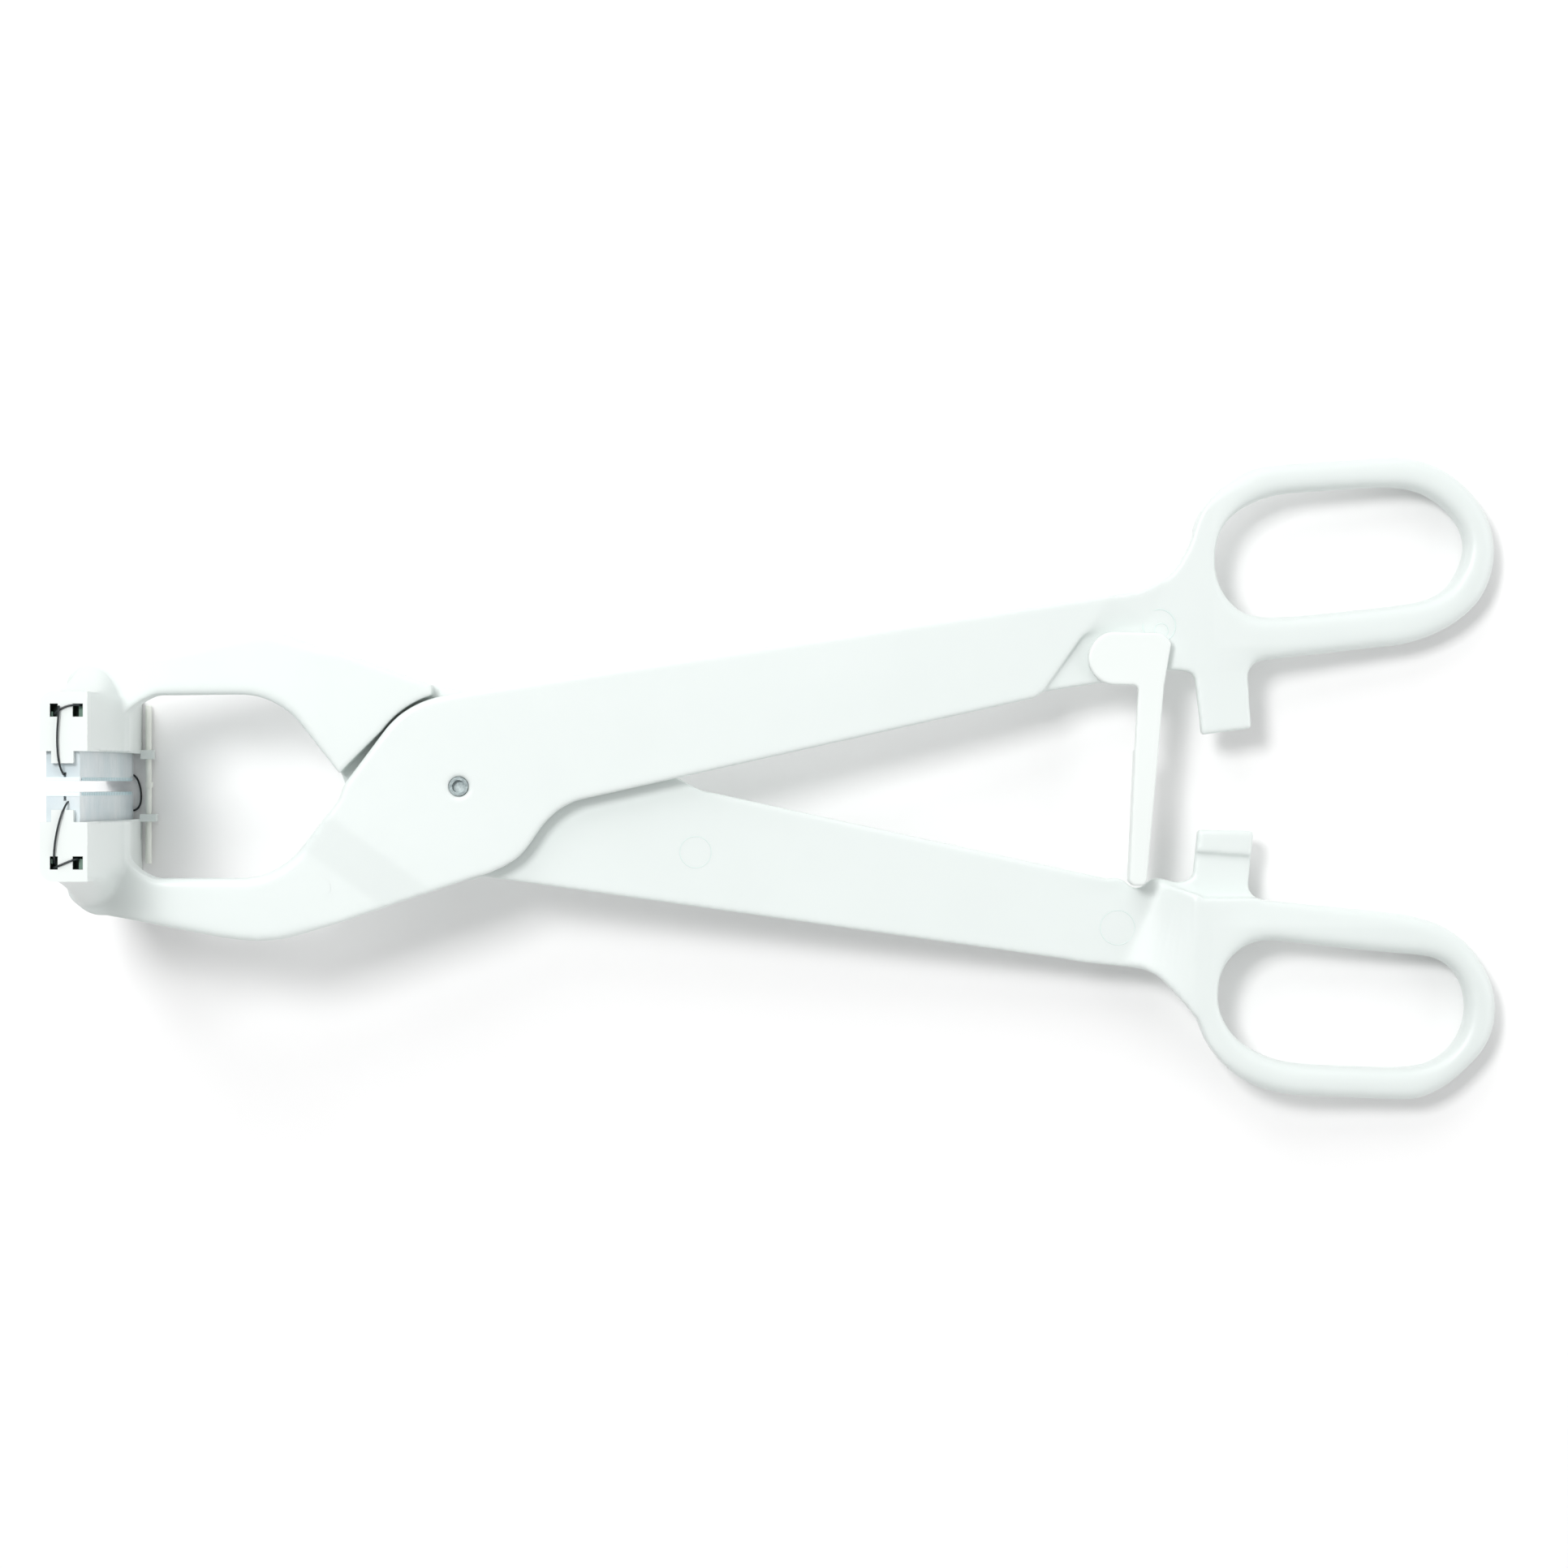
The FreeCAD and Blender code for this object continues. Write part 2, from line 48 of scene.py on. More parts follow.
# ------------------------------------------------------------------ work frame
# Drawn in millimetres with the pivot at the origin and Z along the pivot axis,
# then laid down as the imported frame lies.
K = 0.16
CX, CY = 567.3, 969.0
TILT = math.radians(6.6)
PIV = [j for j in frame["joints"] if j["name"] == "lever_opening"][0]["pos_m"]
M = Matrix.Translation(Vector(PIV)) @ Matrix.Rotation(TILT, 4, 'Y') @ Matrix.Scale(0.001, 4)
MI = M.inverted()

BACK, FRONT, RIVET = "rear_lever_assembly", "front_lever_assembly", "rivet"
UINS, LINS, SPACER = "upper_insert", "lower_insert", "spacer"


def W(px, py, z=0.0):
    return Vector(((px - CX) * K, (CY - py) * K, z))


def link(ob):
    bpy.context.scene.collection.objects.link(ob)
    return ob


def obj_from(name, verts, faces, mat=None, smooth=False):
    """Mesh object from millimetre points in the work frame."""
    me = bpy.data.meshes.new(name)
    me.from_pydata([M @ Vector(v) for v in verts], [], faces)
    me.update()
    ob = link(bpy.data.objects.new(name, me))
    if mat:
        me.materials.append(mat)
    if smooth:
        for p in me.polygons:
            p.use_smooth = True
    return ob


# ------------------------------------------------------------------ materials
def new_mat(name):
    m = bpy.data.materials.new(name)
    m.use_nodes = True
    nt = m.node_tree
    nt.nodes.clear()
    out = nt.nodes.new("ShaderNodeOutputMaterial")
    bs = nt.nodes.new("ShaderNodeBsdfPrincipled")
    nt.links.new(bs.outputs["BSDF"], out.inputs["Surface"])
    return m, nt, bs


def noise(nt, scale, detail=3.0, rough=0.5, coord="Object"):
    tc = nt.nodes.new("ShaderNodeTexCoord")
    n = nt.nodes.new("ShaderNodeTexNoise")
    n.inputs["Scale"].default_value = scale
    n.inputs["Detail"].default_value = detail
    n.inputs["Roughness"].default_value = rough
    nt.links.new(tc.outputs[coord], n.inputs["Vector"])
    return n


def ramp(nt, src, stops):
    r = nt.nodes.new("ShaderNodeValToRGB")
    el = r.color_ramp.elements
    while len(el) > 1:
        el.remove(el[-1])
    el[0].position, el[0].color = stops[0][0], stops[0][1]
    for p, c in stops[1:]:
        e = el.new(p)
        e.color = c
    nt.links.new(src, r.inputs["Fac"])
    return r


def rng(nt, src, lo, hi):
    m = nt.nodes.new("ShaderNodeMapRange")
    m.inputs["To Min"].default_value = lo
    m.inputs["To Max"].default_value = hi
    nt.links.new(src, m.inputs["Value"])
    return m


def plastic(name, base, vary=0.012, rough=(0.32, 0.42), bump=0.05, scale=260.0, sss=0.0, coat=0.0, spec=0.5):
    """Moulded plastic: slight colour drift from flow, fine texture from the tool."""
    m, nt, bs = new_mat(name)
    big = noise(nt, 26.0, 3.0, 0.55)
    lo = tuple(max(0, c - vary) for c in base) + (1,)
    hi = tuple(min(1, c + vary) for c in base) + (1,)
    cr = ramp(nt, big.outputs["Fac"], [(0.3, lo), (0.7, hi)])
    nt.links.new(cr.outputs["Color"], bs.inputs["Base Color"])
    mid = noise(nt, 90.0, 4.0, 0.6)
    rr = rng(nt, mid.outputs["Fac"], rough[0], rough[1])
    nt.links.new(rr.outputs["Result"], bs.inputs["Roughness"])
    fine = noise(nt, scale * 10, 2.0, 0.5)
    bp = nt.nodes.new("ShaderNodeBump")
    bp.inputs["Strength"].default_value = bump
    bp.inputs["Distance"].default_value = 0.0001
    nt.links.new(fine.outputs["Fac"], bp.inputs["Height"])
    nt.links.new(bp.outputs["Normal"], bs.inputs["Normal"])
    if sss:
        bs.inputs["Subsurface Weight"].default_value = sss
        bs.inputs["Subsurface Radius"].default_value = (1.0, 1.05, 1.0)
        bs.inputs["Subsurface Scale"].default_value = 0.0012
    bs.inputs["Coat Weight"].default_value = coat
    bs.inputs["Specular IOR Level"].default_value = spec
    return m


def metal(name, dark, light, rough=(0.22, 0.4), scale=900.0):
    m, nt, bs = new_mat(name)
    n = noise(nt, scale, 4.0, 0.6)
    cr = ramp(nt, n.outputs["Fac"], [(0.3, dark + (1,)), (0.7, light + (1,))])
    nt.links.new(cr.outputs["Color"], bs.inputs["Base Color"])
    rr = rng(nt, n.outputs["Fac"], rough[0], rough[1])
    nt.links.new(rr.outputs["Result"], bs.inputs["Roughness"])
    bs.inputs["Metallic"].default_value = 1.0
    bp = nt.nodes.new("ShaderNodeBump")
    bp.inputs["Strength"].default_value = 0.15
    bp.inputs["Distance"].default_value = 0.00005
    nt.links.new(n.outputs["Fac"], bp.inputs["Height"])
    nt.links.new(bp.outputs["Normal"], bs.inputs["Normal"])
    return m


MAT = {}
MAT["lever"] = plastic("lever_plastic", (0.762, 0.812, 0.795), sss=0.15)
MAT["cap"] = plastic("cap_plastic", (0.770, 0.815, 0.797), rough=(0.28, 0.36), bump=0.03)
MAT["pusher"] = plastic("pusher_plastic", (0.45, 0.62, 0.66), rough=(0.35, 0.5))
MAT["rod"] = plastic("rod_plastic", (0.90, 0.92, 0.86), rough=(0.3, 0.4), bump=0.03)
MAT["spacer"] = plastic("spacer_plastic", (0.815, 0.858, 0.838), rough=(0.34, 0.44))
MAT["steel"] = metal("rivet_steel", (0.20, 0.25, 0.26), (0.55, 0.62, 0.62))
MAT["staple"] = metal("staple_steel", (0.34, 0.38, 0.40), (0.62, 0.66, 0.68))


def clear_mat():
    m, nt, bs = new_mat("cartridge_clear")
    n = noise(nt, 110.0, 3.0, 0.55)
    cr = ramp(nt, n.outputs["Fac"], [(0.3, (0.80, 0.92, 0.97, 1)), (0.7, (0.92, 0.98, 1.0, 1))])
    nt.links.new(cr.outputs["Color"], bs.inputs["Base Color"])
    rr = rng(nt, n.outputs["Fac"], 0.12, 0.30)
    nt.links.new(rr.outputs["Result"], bs.inputs["Roughness"])
    bs.inputs["Transmission Weight"].default_value = 0.25
    bs.inputs["IOR"].default_value = 1.35
    bp = nt.nodes.new("ShaderNodeBump")
    bp.inputs["Strength"].default_value = 0.05
    bp.inputs["Distance"].default_value = 0.0001
    nt.links.new(n.outputs["Fac"], bp.inputs["Height"])
    nt.links.new(bp.outputs["Normal"], bs.inputs["Normal"])
    return m


MAT["clear"] = clear_mat()


def thread_mat():
    m, nt, bs = new_mat("suture")
    n = noise(nt, 1500.0, 2.0, 0.5)
    cr = ramp(nt, n.outputs["Fac"], [(0.3, (0.006, 0.010, 0.012, 1)), (0.7, (0.022, 0.030, 0.034, 1))])
    nt.links.new(cr.outputs["Color"], bs.inputs["Base Color"])
    rr = rng(nt, n.outputs["Fac"], 0.25, 0.4)
    nt.links.new(rr.outputs["Result"], bs.inputs["Roughness"])
    bs.inputs["Specular IOR Level"].default_value = 0.5
    return m


MAT["thread"] = thread_mat()


# Painted shade: near-black green for the insides of the cleat windows, standing in for the darkness of the deep
# pockets.
def recess_mat():
    m, nt, bs = new_mat("cleat_recess")
    n = noise(nt, 700.0, 3.0, 0.6)
    cr = ramp(nt, n.outputs["Fac"], [(0.3, (0.004, 0.012, 0.008, 1)), (0.7, (0.02, 0.045, 0.03, 1))])
    nt.links.new(cr.outputs["Color"], bs.inputs["Base Color"])
    rr = rng(nt, n.outputs["Fac"], 0.6, 0.8)
    nt.links.new(rr.outputs["Result"], bs.inputs["Roughness"])
    return m


MAT["recess"] = recess_mat()
# Painted light: a paler green for the part of each window wall that catches light, set inside the painted shade.
MAT["wall"] = plastic("cleat_wall_green", (0.20, 0.33, 0.26), vary=0.03, rough=(0.5, 0.6))
# Painted shade: a darker tint for the fine ejector witness rings, so that they read against the lever face.
MAT["mark"] = plastic("mark_plastic", (0.70, 0.80, 0.775), vary=0.01, rough=(0.45, 0.5))
MAT["strip"] = plastic("strip_plastic", (0.80, 0.90, 0.93), vary=0.01, rough=(0.3, 0.4), bump=0.02)
MAT["teeth"] = plastic("teeth_plastic", (0.50, 0.68, 0.72), vary=0.02, rough=(0.3, 0.4), bump=0.02)


# ------------------------------------------------------------------ CAD nodes that stay
KEEP = {
    "upper_jaw_housing": "lever", "lower_jaw_housing": "lever",
    "upper_cleat_cap": "cap", "lower_cleat_cap": "cap",
    "upper_cartridge": "clear", "lower_cartridge": "clear",
    "upper_staples": "staple", "lower_staples": "staple",
    "upper_staple_pusher": "pusher", "lower_staple_pusher": "pusher",
    "guide_rod": "rod", "guide_rod_collar": "rod",
    "upper_jaw_suture": "thread", "lower_jaw_suture": "thread",
    "pivot_rivet": "steel", "spacer_retainer": "spacer",
}
for n, k in KEEP.items():
    o = N[n]
    if not o.material_slots:
        o.data.materials.append(MAT[k])
    for s in o.material_slots:
        s.material = MAT[k]


# ------------------------------------------------------------------ moulded skins
def work_mesh(node):
    """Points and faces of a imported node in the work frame, millimetres."""
    me = N[node].data
    vs = [MI @ v.co for v in me.vertices]
    fs = [tuple(p.vertices) for p in me.polygons]
    return vs, fs


def prism(poly, lo, hi, axis):
    """Closed prism of a polygon. axis is the extrusion direction: 'Z', 'Y' or 'X'."""
    n = len(poly)

    def at(p, h):
        if axis == 'Z':
            return (p[0], p[1], h)
        if axis == 'Y':
            return (p[0], h, p[1])
        return (h, p[0], p[1])
    vs = [at(p, lo) for p in poly] + [at(p, hi) for p in poly]
    fs = [tuple(range(n))[::-1], tuple(range(n, 2 * n))]
    fs += [(i, (i + 1) % n, n + (i + 1) % n, n + i) for i in range(n)]
    return vs, fs


def join(parts):
    V_, F_ = [], []
    for vs, fs in parts:
        b = len(V_)
        V_ += [Vector(v) for v in vs]
        F_ += [tuple(i + b for i in f) for f in fs]
    return V_, F_


def skin(name, parts, voxel, smooth, mat, soft=None, grow=0.0, keep=None):
    """One smooth moulding from overlapping solids: remeshed, then its edges relaxed.
    soft(v) gives 0..1, where to round more; keep(v) gives 0..1, where to leave crisp."""
    vs, fs = join(parts)
    me = bpy.data.meshes.new(name)
    me.from_pydata(vs, [], fs)
    bm = bmesh.new()
    bm.from_mesh(me)
    bmesh.ops.remove_doubles(bm, verts=bm.verts, dist=1e-4)
    bmesh.ops.recalc_face_normals(bm, faces=bm.faces)
    bm.to_mesh(me)
    bm.free()
    ob = link(bpy.data.objects.new(name, me))
    md = ob.modifiers.new("r", 'REMESH')
    md.mode = 'VOXEL'
    md.voxel_size = voxel
    md.use_smooth_shade = True
    dg = bpy.context.evaluated_depsgraph_get()
    me2 = bpy.data.meshes.new_from_object(ob.evaluated_get(dg))
    ob.modifiers.clear()
    ob.data = me2
    bpy.data.meshes.remove(me)
    g = ob.vertex_groups.new(name="s")
    groups = {}
    for v in me2.vertices:
        w = 1.0
        if keep:
            w = 1.0 - keep(v.co)
        groups.setdefault(round(w, 2), []).append(v.index)
    for w, idx in groups.items():
        if w > 0:
            g.add(idx, w, 'REPLACE')
    a = ob.modifiers.new("a", 'SMOOTH')
    a.factor = 0.5
    a.iterations = smooth
    a.vertex_group = "s"
    if soft:
        h = ob.vertex_groups.new(name="t")
        groups = {}
        for v in me2.vertices:
            w = soft(v.co)
            if w > 0.01:
                groups.setdefault(round(w, 2), []).append(v.index)
        for w, idx in groups.items():
            h.add(idx, w, 'REPLACE')
        b = ob.modifiers.new("b", 'SMOOTH')
        b.factor = 0.5
        b.iterations = 125
        b.vertex_group = "t"
        if grow:
            c = ob.modifiers.new("c", 'DISPLACE')
            c.strength = grow
            c.mid_level = 0.0
            c.vertex_group = "t"
    dg = bpy.context.evaluated_depsgraph_get()
    me3 = bpy.data.meshes.new_from_object(ob.evaluated_get(dg))
    ob.modifiers.clear()
    ob.vertex_groups.clear()
    ob.data = me3
    bpy.data.meshes.remove(me2)
    me3.transform(M)
    me3.materials.clear()
    me3.materials.append(mat)
    for p in me3.polygons:
        p.use_smooth = True
    me3.update()
    return ob


VOX = 0.34


def mirror_part(p):
    vs, fs = p
    return [(v[0], -v[1], -v[2]) for v in vs], fs


def arm_top(x):
    """Upper edge of the arm over the bar."""
    pts = [(-76.9, 20.4), (-76.2, 21.7), (-75.2, 22.9), (-74.2, 23.7), (-73.0, 24.2), (-71.0, 24.45), (-69.1, 24.6), (-66.0, 25.2)]
    if x <= pts[0][0]:
        return pts[0][1]
    for (x0, y0), (x1, y1) in zip(pts, pts[1:]):
        if x <= x1:
            return y0 + (y1 - y0) * (x - x0) / (x1 - x0)
    return pts[-1][1]


def flares():
    """Where the arm meets the jaw bar it spreads along the bar with a large hollow fillet.
    Given for the upper jaw: sections across the bar, joined from end to end."""
    zs = [-34.9, -32.0, -29.0, -26.0, -23.0, -20.0, -17.0, -14.0, -11.5, -9.5, -7.8, -6.4, -5.2, -4.2]
    zs = zs + [0.0] + [-z for z in reversed(zs) if z > -30.0] + [30.97]
    vs, fs = [], []
    rows = []
    for z in zs:
        d = min(1.0, max(0.0, (abs(z) - 4.0) / 27.0))
        f = (1.0 - d) ** 1.7
        g = 1.0 - math.sqrt(max(0.0, 1.0 - (1.0 - d) ** 2))
        row = []
        # from the bar's lower edge up the right flank, over the rounded shoulder, down the left corner
        for y in (6.75, 8.5, 10.5, 12.5, 14.5, 16.0, 17.2):
            h = max(0.0, min(1.0, (25.0 - y) / 9.0))
            row.append((-67.87 + 2.6 * g * h, y))
        for x, w, k in ((-67.87, 0.0, 0.55), (-68.05, 0.22, 0.42), (-68.5, 0.46, 0.25), (-69.3, 0.68, 0.1), (-70.5, 0.86, 0.0),
                        (-72.0, 0.96, 0.0), (-73.4, 1.0, 0.0), (-74.6, 1.0, 0.0)):
            row.append((x + 2.6 * g * k, 18.03 + (arm_top(x) - 0.3 - 18.03) * f * w))
        for x, y, w in ((-75.5, 17.8, 1.0), (-76.3, 17.1, 0.95), (-76.85, 16.0, 0.85), (-76.93, 15.0, 0.3)):
            row.append((x, y + (arm_top(x) - 0.4 - 18.03) * f * w))
        # inner side, just under the housing's faces
        row += [(-76.1, 15.0), (-75.3, 16.8), (-74.0, 17.2), (-69.0, 17.2), (-68.75, 16.9), (-68.75, 6.75)]
        rows.append(row)
    n = len(rows[0])
    for z, row in zip(zs, rows):
        vs += [(x, y, z) for x, y in row]
    for k in range(len(rows) - 1):
        for i in range(n):
            j = (i + 1) % n
            fs.append((k * n + i, k * n + j, (k + 1) * n + j, (k + 1) * n + i))
    fs.append(tuple(range(n))[::-1])
    fs.append(tuple(range((len(rows) - 1) * n, len(rows) * n)))
    return [(vs, fs)]


FL = flares()


def wedge(pts, z0):
    """Closed block under a sloping top: pts are (px, py, z) round its top face, base at z0."""
    n = len(pts)
    top = [W(x, y, z) for x, y, z in pts]
    vs = top + [Vector((v.x, v.y, z0)) for v in top]
    fs = [tuple(range(n)), tuple(range(n, 2 * n))[::-1]]
    fs += [(i, i + n, (i + 1) % n + n, (i + 1) % n) for i in range(n)]
    return vs, fs


def strips(rows, z0):
    """Blocks side by side under a curved top: rows are ((px, py) at one edge, (px, py) at the other, z)."""
    out = []
    for (a, b, z), (c, d, w) in zip(rows, rows[1:]):
        out.append(wedge([(a[0], a[1], z), (c[0], c[1], w), (d[0], d[1], w), (b[0], b[1], z)], z0))
    return out


def ease(t):
    return t * t * (3 - 2 * t)


# near lever: the diagonal step dies out towards the upper edge
def step_blend():
    t, u, n = (1367.0, 735.5), (-0.566, 0.825), (0.825, 0.566)
    rows = []
    for i in range(9):
        d = 7.5 * i
        w = 56.0 * (1 - d / 60.0) + 1.0
        a = (t[0] + u[0] * d, t[1] + u[1] * d)
        rows.append((a, (a[0] + n[0] * w, a[1] + n[1] * w)))
    out = [wedge([(a[0], a[1], 4.97), (c[0], c[1], 4.97), (d[0], d[1], 3.6), (b[0], b[1], 3.6)], 2.5)
           for (a, b), (c, d) in zip(rows, rows[1:])]
    b = rows[0][1]
    out.append(wedge([(t[0] - 1, t[1] + 1.2, 4.97), (b[0], b[1], 3.6), (1436, 713, 3.6), (1402, 730.6, 4.3)], 2.5))
    return out


FRONT_BLEND = step_blend()
# rear lever: the shank's face rises to the ring, under a diagonal edge
def under_edge(x):
    """Lower edge of the rear lever where its shank turns into the ring, photo px."""
    k = [(1370, 1187), (1404, 1191), (1428, 1203), (1457, 1234), (1478, 1260)]
    for (a, b), (c, d) in zip(k, k[1:]):
        if x <= c:
            return b + (d - b) * (x - a) / (c - a)
    return k[-1][1]


BACK_BLEND = strips([((1424 + 54 * t, 1085 + 18 * t), (1372 + 106 * t, under_edge(1372 + 106 * t)), -0.2 + 3.8 * ease(t))
                     for t in [i / 12.0 for i in range(13)]], -2.0)


def ring_soft(v):
    """Where the moulding is rounder: fully at the rings, a little along the jaw arms."""
    a = max(0.0, min(1.0, (v.x - 148.0) / 8.0)) * max(0.0, min(1.0, (abs(v.y) - 22.5) / 5.0))
    b = 0.28 * max(0.0, min(1.0, (v.x + 62.0) / 5.0)) * max(0.0, min(1.0, (-24.0 - v.x) / 8.0))
    return max(a, b)


front_skin = skin("front_lever_moulding", [work_mesh("front_lever")] + [mirror_part(p) for p in FL] + FRONT_BLEND, VOX, 14, MAT["lever"],
                  soft=ring_soft, grow=0.5)
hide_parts("front_lever")
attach(front_skin, FRONT)
back_skin = skin("rear_lever_moulding", [work_mesh("back_lever")] + FL + BACK_BLEND, VOX, 14, MAT["lever"],
                 soft=ring_soft, grow=0.5)
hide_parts("back_lever")
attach(back_skin, BACK)

spacer_skin = skin("safety_spacer_moulding", [work_mesh("safety_spacer")], 0.25, 5, MAT["spacer"])
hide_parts("safety_spacer")
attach(spacer_skin, SPACER)


# ------------------------------------------------------------------ sutures
def thread(name, pts, node, body, r=0.21):
    cu = bpy.data.curves.new(name, 'CURVE')
    cu.dimensions = '3D'
    sp = cu.splines.new('NURBS')
    sp.points.add(len(pts) - 1)
    for p, q in zip(sp.points, pts):
        w = M @ Vector(q)
        p.co = (w.x, w.y, w.z, 1.0)
    sp.order_u = 3
    sp.use_endpoint_u = True
    sp.resolution_u = 10
    cu.bevel_depth = r * 0.001
    cu.bevel_resolution = 3
    cu.use_fill_caps = True
    cu.materials.append(MAT["thread"])
    ob = link(bpy.data.objects.new(name, cu))
    if node:
        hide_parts(node)
    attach(ob, body)
    return ob


thread("upper_tail_thread", [(-73.15, 15.3, 35.72), (-73.25, 13.4, 35.75), (-73.55, 9.8, 35.6), (-73.45, 6.2, 35.5),
                             (-73.1, 3.9, 35.1), (-72.75, 2.6, 34.2), (-72.65, 2.3, 33.32)], "upper_suture_tail", BACK)
thread("lower_tail_thread", [(-74.15, -14.5, 34.3), (-74.15, -13.45, 35.35), (-74.1, -12.3, 35.55), (-73.85, -10.0, 35.6),
                             (-73.3, -7.3, 35.6), (-72.7, -5.2, 35.5), (-72.2, -3.9, 35.0), (-71.9, -3.1, 34.1),
                             (-71.8, -2.9, 33.32)], "lower_suture_tail", FRONT)
thread("upper_hitch_thread", [(-74.4, 13.6, 33.8), (-73.95, 13.9, 35.3), (-73.0, 14.6, 35.32), (-71.8, 15.2, 35.3),
                              (-70.4, 15.45, 35.3), (-69.3, 15.4, 34.9), (-69.2, 15.4, 33.6)], "upper_suture_hitch", BACK)
thread("lower_hitch_thread", [(-74.5, -15.4, 33.8), (-73.95, -15.3, 35.27), (-72.1, -14.5, 35.3), (-70.5, -13.85, 35.27),
                              (-69.8, -13.7, 34.4), (-69.8, -13.7, 33.6)], "lower_suture_hitch", FRONT)
thread("rear_loop_thread", [(-72.35, 2.35, -33.87), (-72.1, 2.4, -34.55), (-71.0, 2.5, -34.7), (-69.7, 2.5, -34.65),
                            (-68.6, 1.2, -34.65), (-68.0, -1.6, -34.65), (-68.3, -4.2, -34.65), (-69.8, -5.2, -34.65),
                            (-71.2, -4.1, -34.7), (-72.1, -2.7, -34.55), (-72.35, -2.35, -33.87)],
       "rear_suture_loop", BACK)


# ------------------------------------------------------------------ painted shade: dark open boxes lining the cleat windows
# Painted shade: open near-black boxes set in both windows of a cleat cap.
def painted_shade_liner(name, sign, body):
    vs, fs = [], []

    def open_box(x0, x1, y0, y1, z0, z1):
        b = len(vs)
        vs.extend([(x0, y0, z0), (x1, y0, z0), (x1, y1, z0), (x0, y1, z0), (x0, y0, z1), (x1, y0, z1), (x1, y1, z1), (x0, y1, z1)])
        fs.extend([(b, b + 1, b + 2, b + 3), (b, b + 4, b + 5, b + 1), (b + 1, b + 5, b + 6, b + 2),
                   (b + 2, b + 6, b + 7, b + 3), (b + 3, b + 7, b + 4, b)])
    for x0, x1 in ((-74.97, -73.53), (-70.67, -68.78)):
        ys = sorted((sign * 13.23, sign * 15.67))
        open_box(x0, x1, ys[0], ys[1], 32.05, 34.6)
    ob = obj_from(name, vs, fs, MAT["recess"])
    sd = ob.modifiers.new("t", 'SOLIDIFY')
    sd.thickness = 0.00003
    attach(ob, body)
    return ob


painted_shade_liner("upper_window_painted_shade", 1, BACK)
painted_shade_liner("lower_window_painted_shade", -1, FRONT)


def slab(name, boxes, mat, body):
    vs, fs = [], []
    for x0, x1, y0, y1, z0, z1 in boxes:
        b = len(vs)
        vs.extend([(x0, y0, z0), (x1, y0, z0), (x1, y1, z0), (x0, y1, z0), (x0, y0, z1), (x1, y0, z1), (x1, y1, z1), (x0, y1, z1)])
        fs.extend([(b, b + 3, b + 2, b + 1), (b + 4, b + 5, b + 6, b + 7), (b, b + 1, b + 5, b + 4),
                   (b + 1, b + 2, b + 6, b + 5), (b + 2, b + 3, b + 7, b + 6), (b + 3, b, b + 4, b + 7)])
    ob = obj_from(name, vs, fs, mat)
    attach(ob, body)
    return ob


# Painted light: thin paler panels on the window walls where a wall face would be lit.
slab("upper_window_wall", [(-69.75, -68.80, 13.25, 15.2, 32.3, 33.4), (-74.95, -74.65, 13.25, 14.2, 32.3, 33.9)],
     MAT["wall"], BACK)
slab("lower_window_wall", [(-69.75, -68.80, -15.65, -13.7, 32.3, 33.4), (-74.95, -74.70, -14.6, -13.7, 32.3, 33.9)],
     MAT["wall"], FRONT)


def insert_trim(tag, sg, body):
    """Tissue-side edge of a cartridge: a pale strip round its foot, and short teeth along both flanks."""
    boxes = []

    def add(x0, x1, y0, y1, z0, z1):
        ys = sorted((sg * y0, sg * y1))
        boxes.append((x0, x1, ys[0], ys[1], z0, z1))
    slab(tag + "_cartridge_foot", [(-75.94, -69.61, min(sg * 1.08, sg * 1.8), max(sg * 1.08, sg * 1.8), 33.29, 33.4)],
         MAT["strip"], body)
    z = 30.0
    while z > -33.0:
        for x in (-76.0, -69.62):
            add(x, x + 0.07, 1.1, 1.75, z, z + 0.75)
        z -= 1.5
    slab(tag + "_cartridge_teeth", boxes, MAT["teeth"], body)
    ribs = []
    z = 27.0
    while z > -31.0:
        for x in (-75.96, -69.66):
            ys = sorted((sg * 2.6, sg * 6.4))
            ribs.append((x, x + 0.07, ys[0], ys[1], z, z + 0.5))
        z -= 5.6
    slab(tag + "_cartridge_ribs", ribs, MAT["clear"], body)


insert_trim("upper", 1, UINS)
insert_trim("lower", -1, LINS)


# ------------------------------------------------------------------ moulding marks
def ring_mark(name, c, z, R, r, mat, body):
    """Fine witness ring of an ejector pin, mostly sunk in the face at height z."""
    vs, fs = [], []
    n, k = 64, 8
    for i in range(n):
        a = 2 * math.pi * i / n
        for j in range(k):
            b = 2 * math.pi * j / k
            rr = R + r * math.cos(b)
            vs.append((c.x + rr * math.cos(a), c.y + rr * math.sin(a), z - r * 0.55 + r * 0.8 * math.sin(b)))
    for i in range(n):
        for j in range(k):
            fs.append((i * k + j, ((i + 1) % n) * k + j, ((i + 1) % n) * k + (j + 1) % k, i * k + (j + 1) % k))
    ob = obj_from(name, vs, fs, mat, True)
    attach(ob, body)
    return ob


# All rings but the one on the arm take the darker painted-shade tint; the arm's ring is plain lever plastic.
ring_mark("ejector_ring_shank", W(1426.4, 771.8), 3.6, 3.2, 0.22, MAT["mark"], FRONT)
ring_mark("ejector_ring_small", W(1429.0, 777.5), 3.6, 1.35, 0.16, MAT["mark"], FRONT)
ring_mark("ejector_ring_arm", W(399.1, 1092.8), 4.0, 1.75, 0.2, MAT["lever"], FRONT)
ring_mark("ejector_ring_rear_hub", W(857, 1050), -0.15, 3.1, 0.14, MAT["mark"], BACK)
ring_mark("ejector_ring_rear_shank", W(1377, 1143), -0.15, 3.4, 0.14, MAT["mark"], BACK)


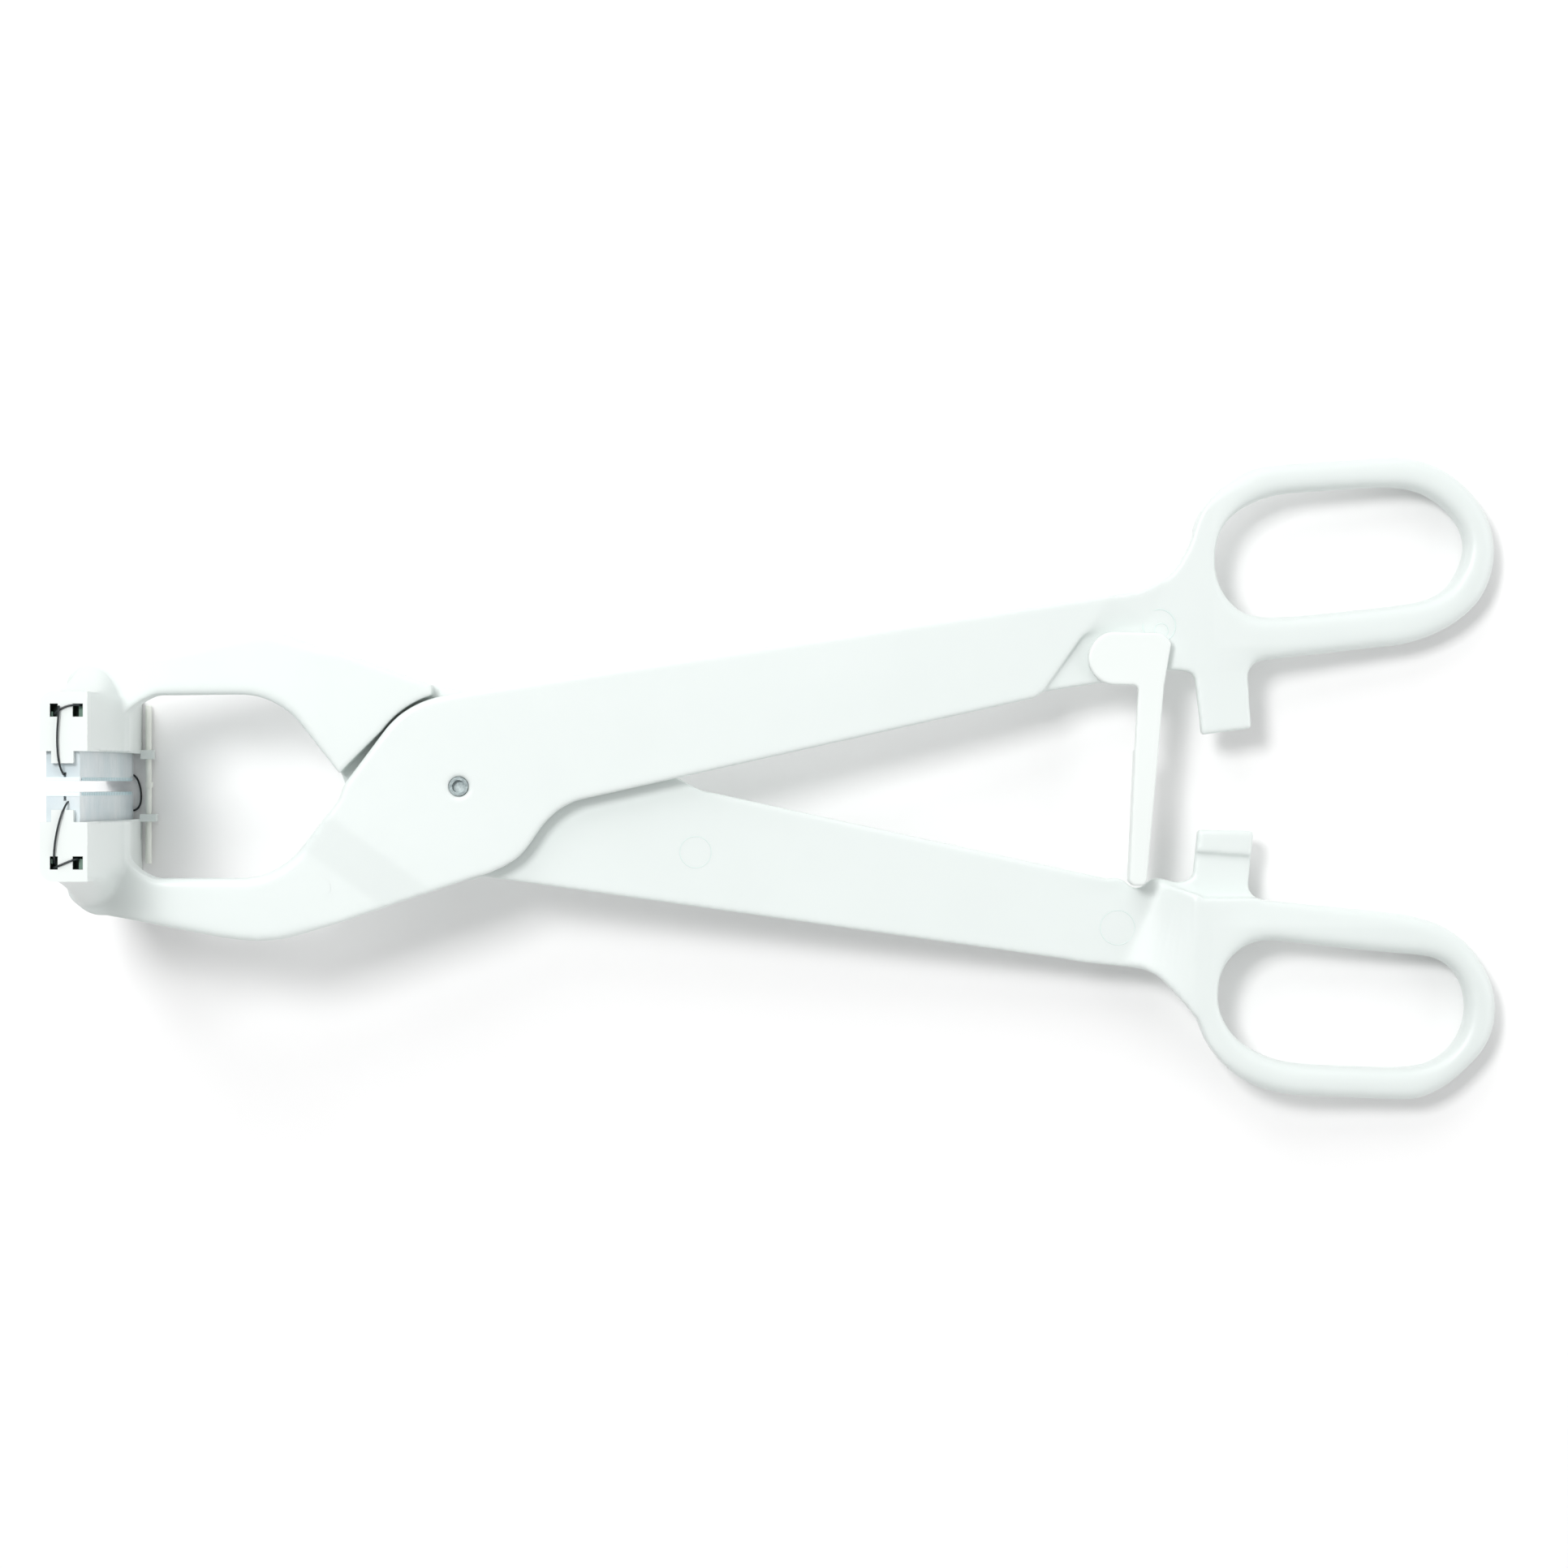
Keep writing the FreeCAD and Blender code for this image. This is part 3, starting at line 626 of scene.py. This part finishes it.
# ------------------------------------------------------------------ stage, light and camera
def floor():
    s = 1.6
    me = bpy.data.meshes.new("floor")
    me.from_pydata([(-s, -s, -0.0002), (s, -s, -0.0002), (s, s, -0.0002), (-s, s, -0.0002)], [], [(0, 1, 2, 3)])
    m, nt, bs = new_mat("floor_white")
    n = noise(nt, 3.0, 2.0, 0.5)
    cr = ramp(nt, n.outputs["Fac"], [(0.3, (0.955, 0.952, 0.952, 1)), (0.7, (0.965, 0.962, 0.962, 1))])
    nt.links.new(cr.outputs["Color"], bs.inputs["Base Color"])
    bs.inputs["Roughness"].default_value = 0.9
    bs.inputs["Specular IOR Level"].default_value = 0.1
    me.materials.append(m)
    ob = link(bpy.data.objects.new("floor", me))
    return ob


floor()
scene = bpy.context.scene
wd = bpy.data.worlds.new("studio")
wd.use_nodes = True
wd.node_tree.nodes["Background"].inputs["Color"].default_value = (1, 1, 1, 1)
wd.node_tree.nodes["Background"].inputs["Strength"].default_value = 0.46
scene.world = wd


def area(name, loc, target, size, power, color=(1, 1, 1)):
    li = bpy.data.lights.new(name, 'AREA')
    li.shape = 'SQUARE'
    li.size = size
    li.energy = power
    li.color = color
    ob = link(bpy.data.objects.new(name, li))
    ob.location = loc
    d = Vector(target) - Vector(loc)
    ob.rotation_euler = d.to_track_quat('-Z', 'Y').to_euler()
    return ob


area("key", (-0.24, 0.34, 1.10), (0, 0, 0), 0.30, 6.3)
area("top_softbox", (-0.5, 2.1, 1.5), (0, 0, 0), 1.8, 22.0)
area("right_fill", (2.1, -0.2, 1.0), (0, 0, 0), 1.8, 16.0)
scene.view_settings.view_transform = 'Standard'

cam_d = bpy.data.cameras.new("camera")
cam_d.sensor_fit = 'HORIZONTAL'
cam_d.sensor_width = 36.0
DIST = 850.0
VIEW_MM = 1932 * K
cam_d.lens = 36.0 * DIST / VIEW_MM
cam_d.clip_start = 0.05
cam_d.clip_end = 10.0
cam = link(bpy.data.objects.new("camera", cam_d))
eye = M @ W(966, 966, DIST)
cam.matrix_world = Matrix.Translation(eye) @ Matrix.Rotation(TILT, 4, 'Y')
scene.camera = cam
